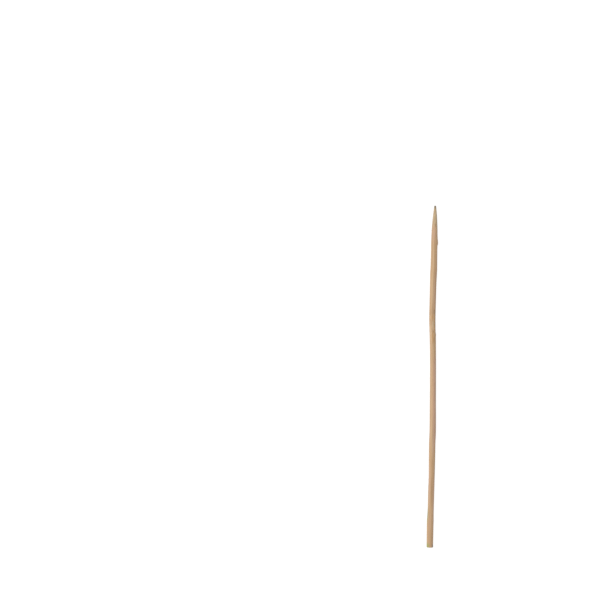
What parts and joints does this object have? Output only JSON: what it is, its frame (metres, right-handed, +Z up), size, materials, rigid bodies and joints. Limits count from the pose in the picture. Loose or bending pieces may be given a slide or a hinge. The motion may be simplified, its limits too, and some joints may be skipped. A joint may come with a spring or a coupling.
{
  "type": "bamboo skewer",
  "caption": "Round stick of split bamboo, ground to a point at one end and sawn square at the other, slightly kinked at the bamboo's own knot.",
  "frame": {"origin": "middle of the bounding box's bottom: on the surface the stick lies on, under the middle of its length", "axes": "+Y along the stick towards its point, +Z up from the surface it lies on, +X to the right; the stick's kink lies in the X-Y plane"},
  "size_m": [0.005, 0.2, 0.0035],
  "materials": {
    "bamboo": "satin"
  },
  "bodies": {
    "root": {"skewer": "bamboo"}
  },
  "joints": []
}
